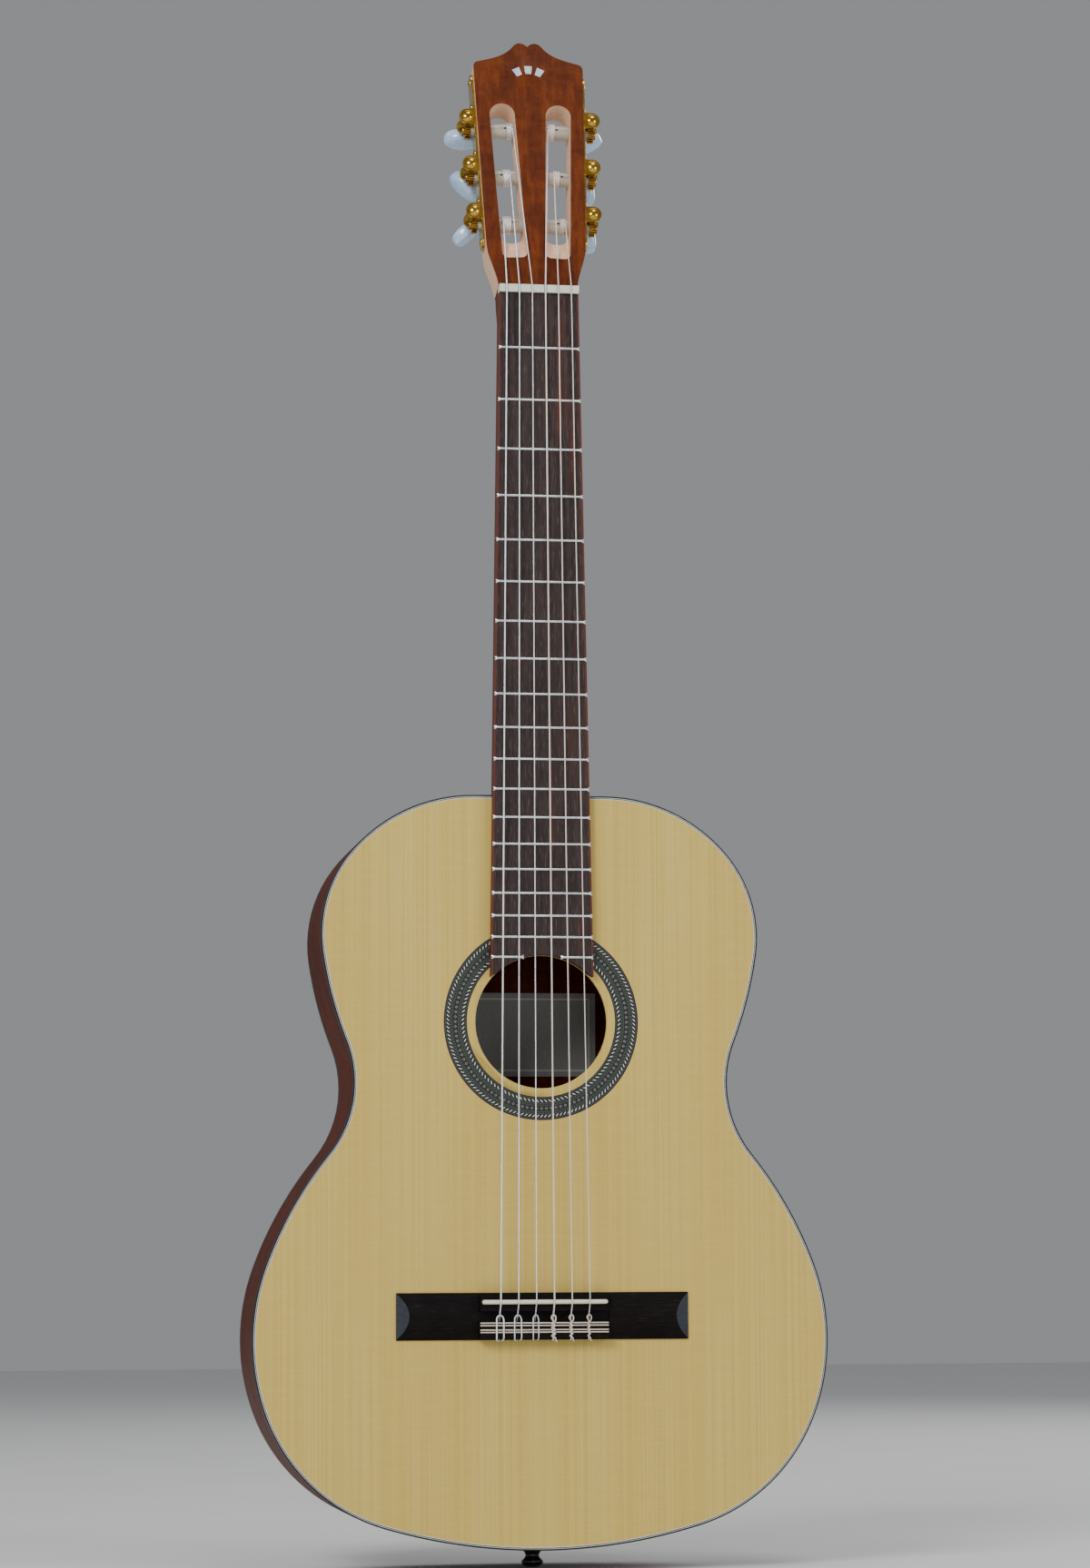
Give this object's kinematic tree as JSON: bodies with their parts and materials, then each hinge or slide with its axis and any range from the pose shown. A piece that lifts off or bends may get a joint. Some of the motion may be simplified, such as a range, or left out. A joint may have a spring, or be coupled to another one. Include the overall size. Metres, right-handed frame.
{
  "type": "classical guitar",
  "caption": "Upright nylon-string classical guitar with a spruce top, mosaic rosette, slotted head and worm-geared tuners whose knobs turn the string rollers.",
  "frame": {"origin": "on the body's centreline at the tail, where the end pin's base meets the ribs", "axes": "+Z runs from the tail to the head, the soundboard faces -Y, +X is the treble side"},
  "size_m": [0.369, 0.1136, 1.0011],
  "materials": {
    "spruce_top": "satin varnish over fine straight grain",
    "mahogany": "satin varnish, reddish brown, ribbon figure",
    "mahogany_neck": "satin varnish, reddish brown, open pores",
    "cedar_lining": "bare wood",
    "spruce_brace": "bare wood",
    "rosewood": "oiled dark rosewood with open pores",
    "rosette_mosaic": "inlaid black, grey and silver veneers under varnish",
    "black_binding": "gloss",
    "label_paper": "plain uncoated paper",
    "fret_metal": "polished nickel silver",
    "nut_plastic": "polished, slightly translucent",
    "saddle_plastic": "polished cream",
    "shell": "mother of pearl",
    "inlay_cream": "polished cream",
    "wound_string": "silver plated winding",
    "nylon_string": "clear nylon with a faint pink cast",
    "pin_black": "satin",
    "gold_plate": "polished gold plate",
    "gear_gold": "satin gold plate",
    "ivory_roller": "satin ivory",
    "pearl_button": "pearlescent"
  },
  "bodies": {
    "guitar": {"soundboard": "spruce_top", "back": "mahogany", "rib_bass": "mahogany", "rib_treble": "mahogany", "neck_block": "cedar_lining", "tail_block": "cedar_lining", "linings": "cedar_lining", "fan_braces": "spruce_brace", "harmonic_bars": "spruce_brace", "back_braces": "cedar_lining", "rosette": "rosette_mosaic", "top_binding": "black_binding", "back_binding": "black_binding", "label": "label_paper", "neck_shaft": "mahogany_neck", "heel": "mahogany_neck", "headstock": "mahogany_neck", "fretboard": "rosewood", "frets": "fret_metal", "nut": "nut_plastic", "head_inlays": "shell", "bridge": "rosewood", "tie_block_inlays": "inlay_cream", "saddle": "saddle_plastic", "bass_strings": "wound_string", "treble_strings": "nylon_string", "end_pin": "pin_black", "tuner_plate_bass": "gold_plate", "tuner_plate_treble": "gold_plate", "plate_screws": "gold_plate"},
    "knob_1": {"button_1": "pearl_button", "worm_1": "gear_gold"},
    "spool_1": {"gear_1": "gear_gold", "roller_1": "ivory_roller", "winding_1": "wound_string"},
    "knob_2": {"button_2": "pearl_button", "worm_2": "gear_gold"},
    "spool_2": {"gear_2": "gear_gold", "roller_2": "ivory_roller", "winding_2": "wound_string"},
    "knob_3": {"button_3": "pearl_button", "worm_3": "gear_gold"},
    "spool_3": {"gear_3": "gear_gold", "roller_3": "ivory_roller", "winding_3": "wound_string"},
    "knob_4": {"button_4": "pearl_button", "worm_4": "gear_gold"},
    "spool_4": {"gear_4": "gear_gold", "roller_4": "ivory_roller", "winding_4": "nylon_string"},
    "knob_5": {"button_5": "pearl_button", "worm_5": "gear_gold"},
    "spool_5": {"gear_5": "gear_gold", "roller_5": "ivory_roller", "winding_5": "nylon_string"},
    "knob_6": {"button_6": "pearl_button", "worm_6": "gear_gold"},
    "spool_6": {"gear_6": "gear_gold", "roller_6": "ivory_roller", "winding_6": "nylon_string"}
  },
  "joints": [
    {"name": "knob_1_turn", "type": "hinge", "parent": "guitar", "child": "knob_1", "pos_m": [-0.03947, -0.02979, 0.86406], "axis": [0, 0.9703, -0.2419], "continuous": true},
    {"name": "spool_1_turn", "type": "hinge", "parent": "guitar", "child": "spool_1", "pos_m": [-0.03346, -0.03144, 0.85744], "axis": [-0.9996, -0.0072, -0.0288], "continuous": true},
    {"name": "knob_2_turn", "type": "hinge", "parent": "guitar", "child": "knob_2", "pos_m": [-0.0405, -0.02133, 0.89801], "axis": [0, 0.9703, -0.2419], "continuous": true},
    {"name": "spool_2_turn", "type": "hinge", "parent": "guitar", "child": "spool_2", "pos_m": [-0.0345, -0.02298, 0.89139], "axis": [-0.9996, -0.0072, -0.0288], "continuous": true},
    {"name": "knob_3_turn", "type": "hinge", "parent": "guitar", "child": "knob_3", "pos_m": [-0.04154, -0.01286, 0.93195], "axis": [0, 0.9703, -0.2419], "continuous": true},
    {"name": "spool_3_turn", "type": "hinge", "parent": "guitar", "child": "spool_3", "pos_m": [-0.03554, -0.01451, 0.92533], "axis": [-0.9996, -0.0072, -0.0288], "continuous": true},
    {"name": "knob_4_turn", "type": "hinge", "parent": "guitar", "child": "knob_4", "pos_m": [0.04154, -0.01286, 0.93195], "axis": [0, 0.9703, -0.2419], "continuous": true},
    {"name": "spool_4_turn", "type": "hinge", "parent": "guitar", "child": "spool_4", "pos_m": [0.03554, -0.01451, 0.92533], "axis": [0.9996, -0.0072, -0.0288], "continuous": true},
    {"name": "knob_5_turn", "type": "hinge", "parent": "guitar", "child": "knob_5", "pos_m": [0.0405, -0.02133, 0.89801], "axis": [0, 0.9703, -0.2419], "continuous": true},
    {"name": "spool_5_turn", "type": "hinge", "parent": "guitar", "child": "spool_5", "pos_m": [0.0345, -0.02298, 0.89139], "axis": [0.9996, -0.0072, -0.0288], "continuous": true},
    {"name": "knob_6_turn", "type": "hinge", "parent": "guitar", "child": "knob_6", "pos_m": [0.03947, -0.02979, 0.86406], "axis": [0, 0.9703, -0.2419], "continuous": true},
    {"name": "spool_6_turn", "type": "hinge", "parent": "guitar", "child": "spool_6", "pos_m": [0.03346, -0.03144, 0.85744], "axis": [0.9996, -0.0072, -0.0288], "continuous": true}
  ],
  "couplings": [
    {"joint": "spool_1_turn", "follows": "knob_1_turn", "ratio": 0.071429},
    {"joint": "spool_2_turn", "follows": "knob_2_turn", "ratio": 0.071429},
    {"joint": "spool_3_turn", "follows": "knob_3_turn", "ratio": 0.071429},
    {"joint": "spool_4_turn", "follows": "knob_4_turn", "ratio": 0.071429},
    {"joint": "spool_5_turn", "follows": "knob_5_turn", "ratio": 0.071429},
    {"joint": "spool_6_turn", "follows": "knob_6_turn", "ratio": 0.071429}
  ]
}
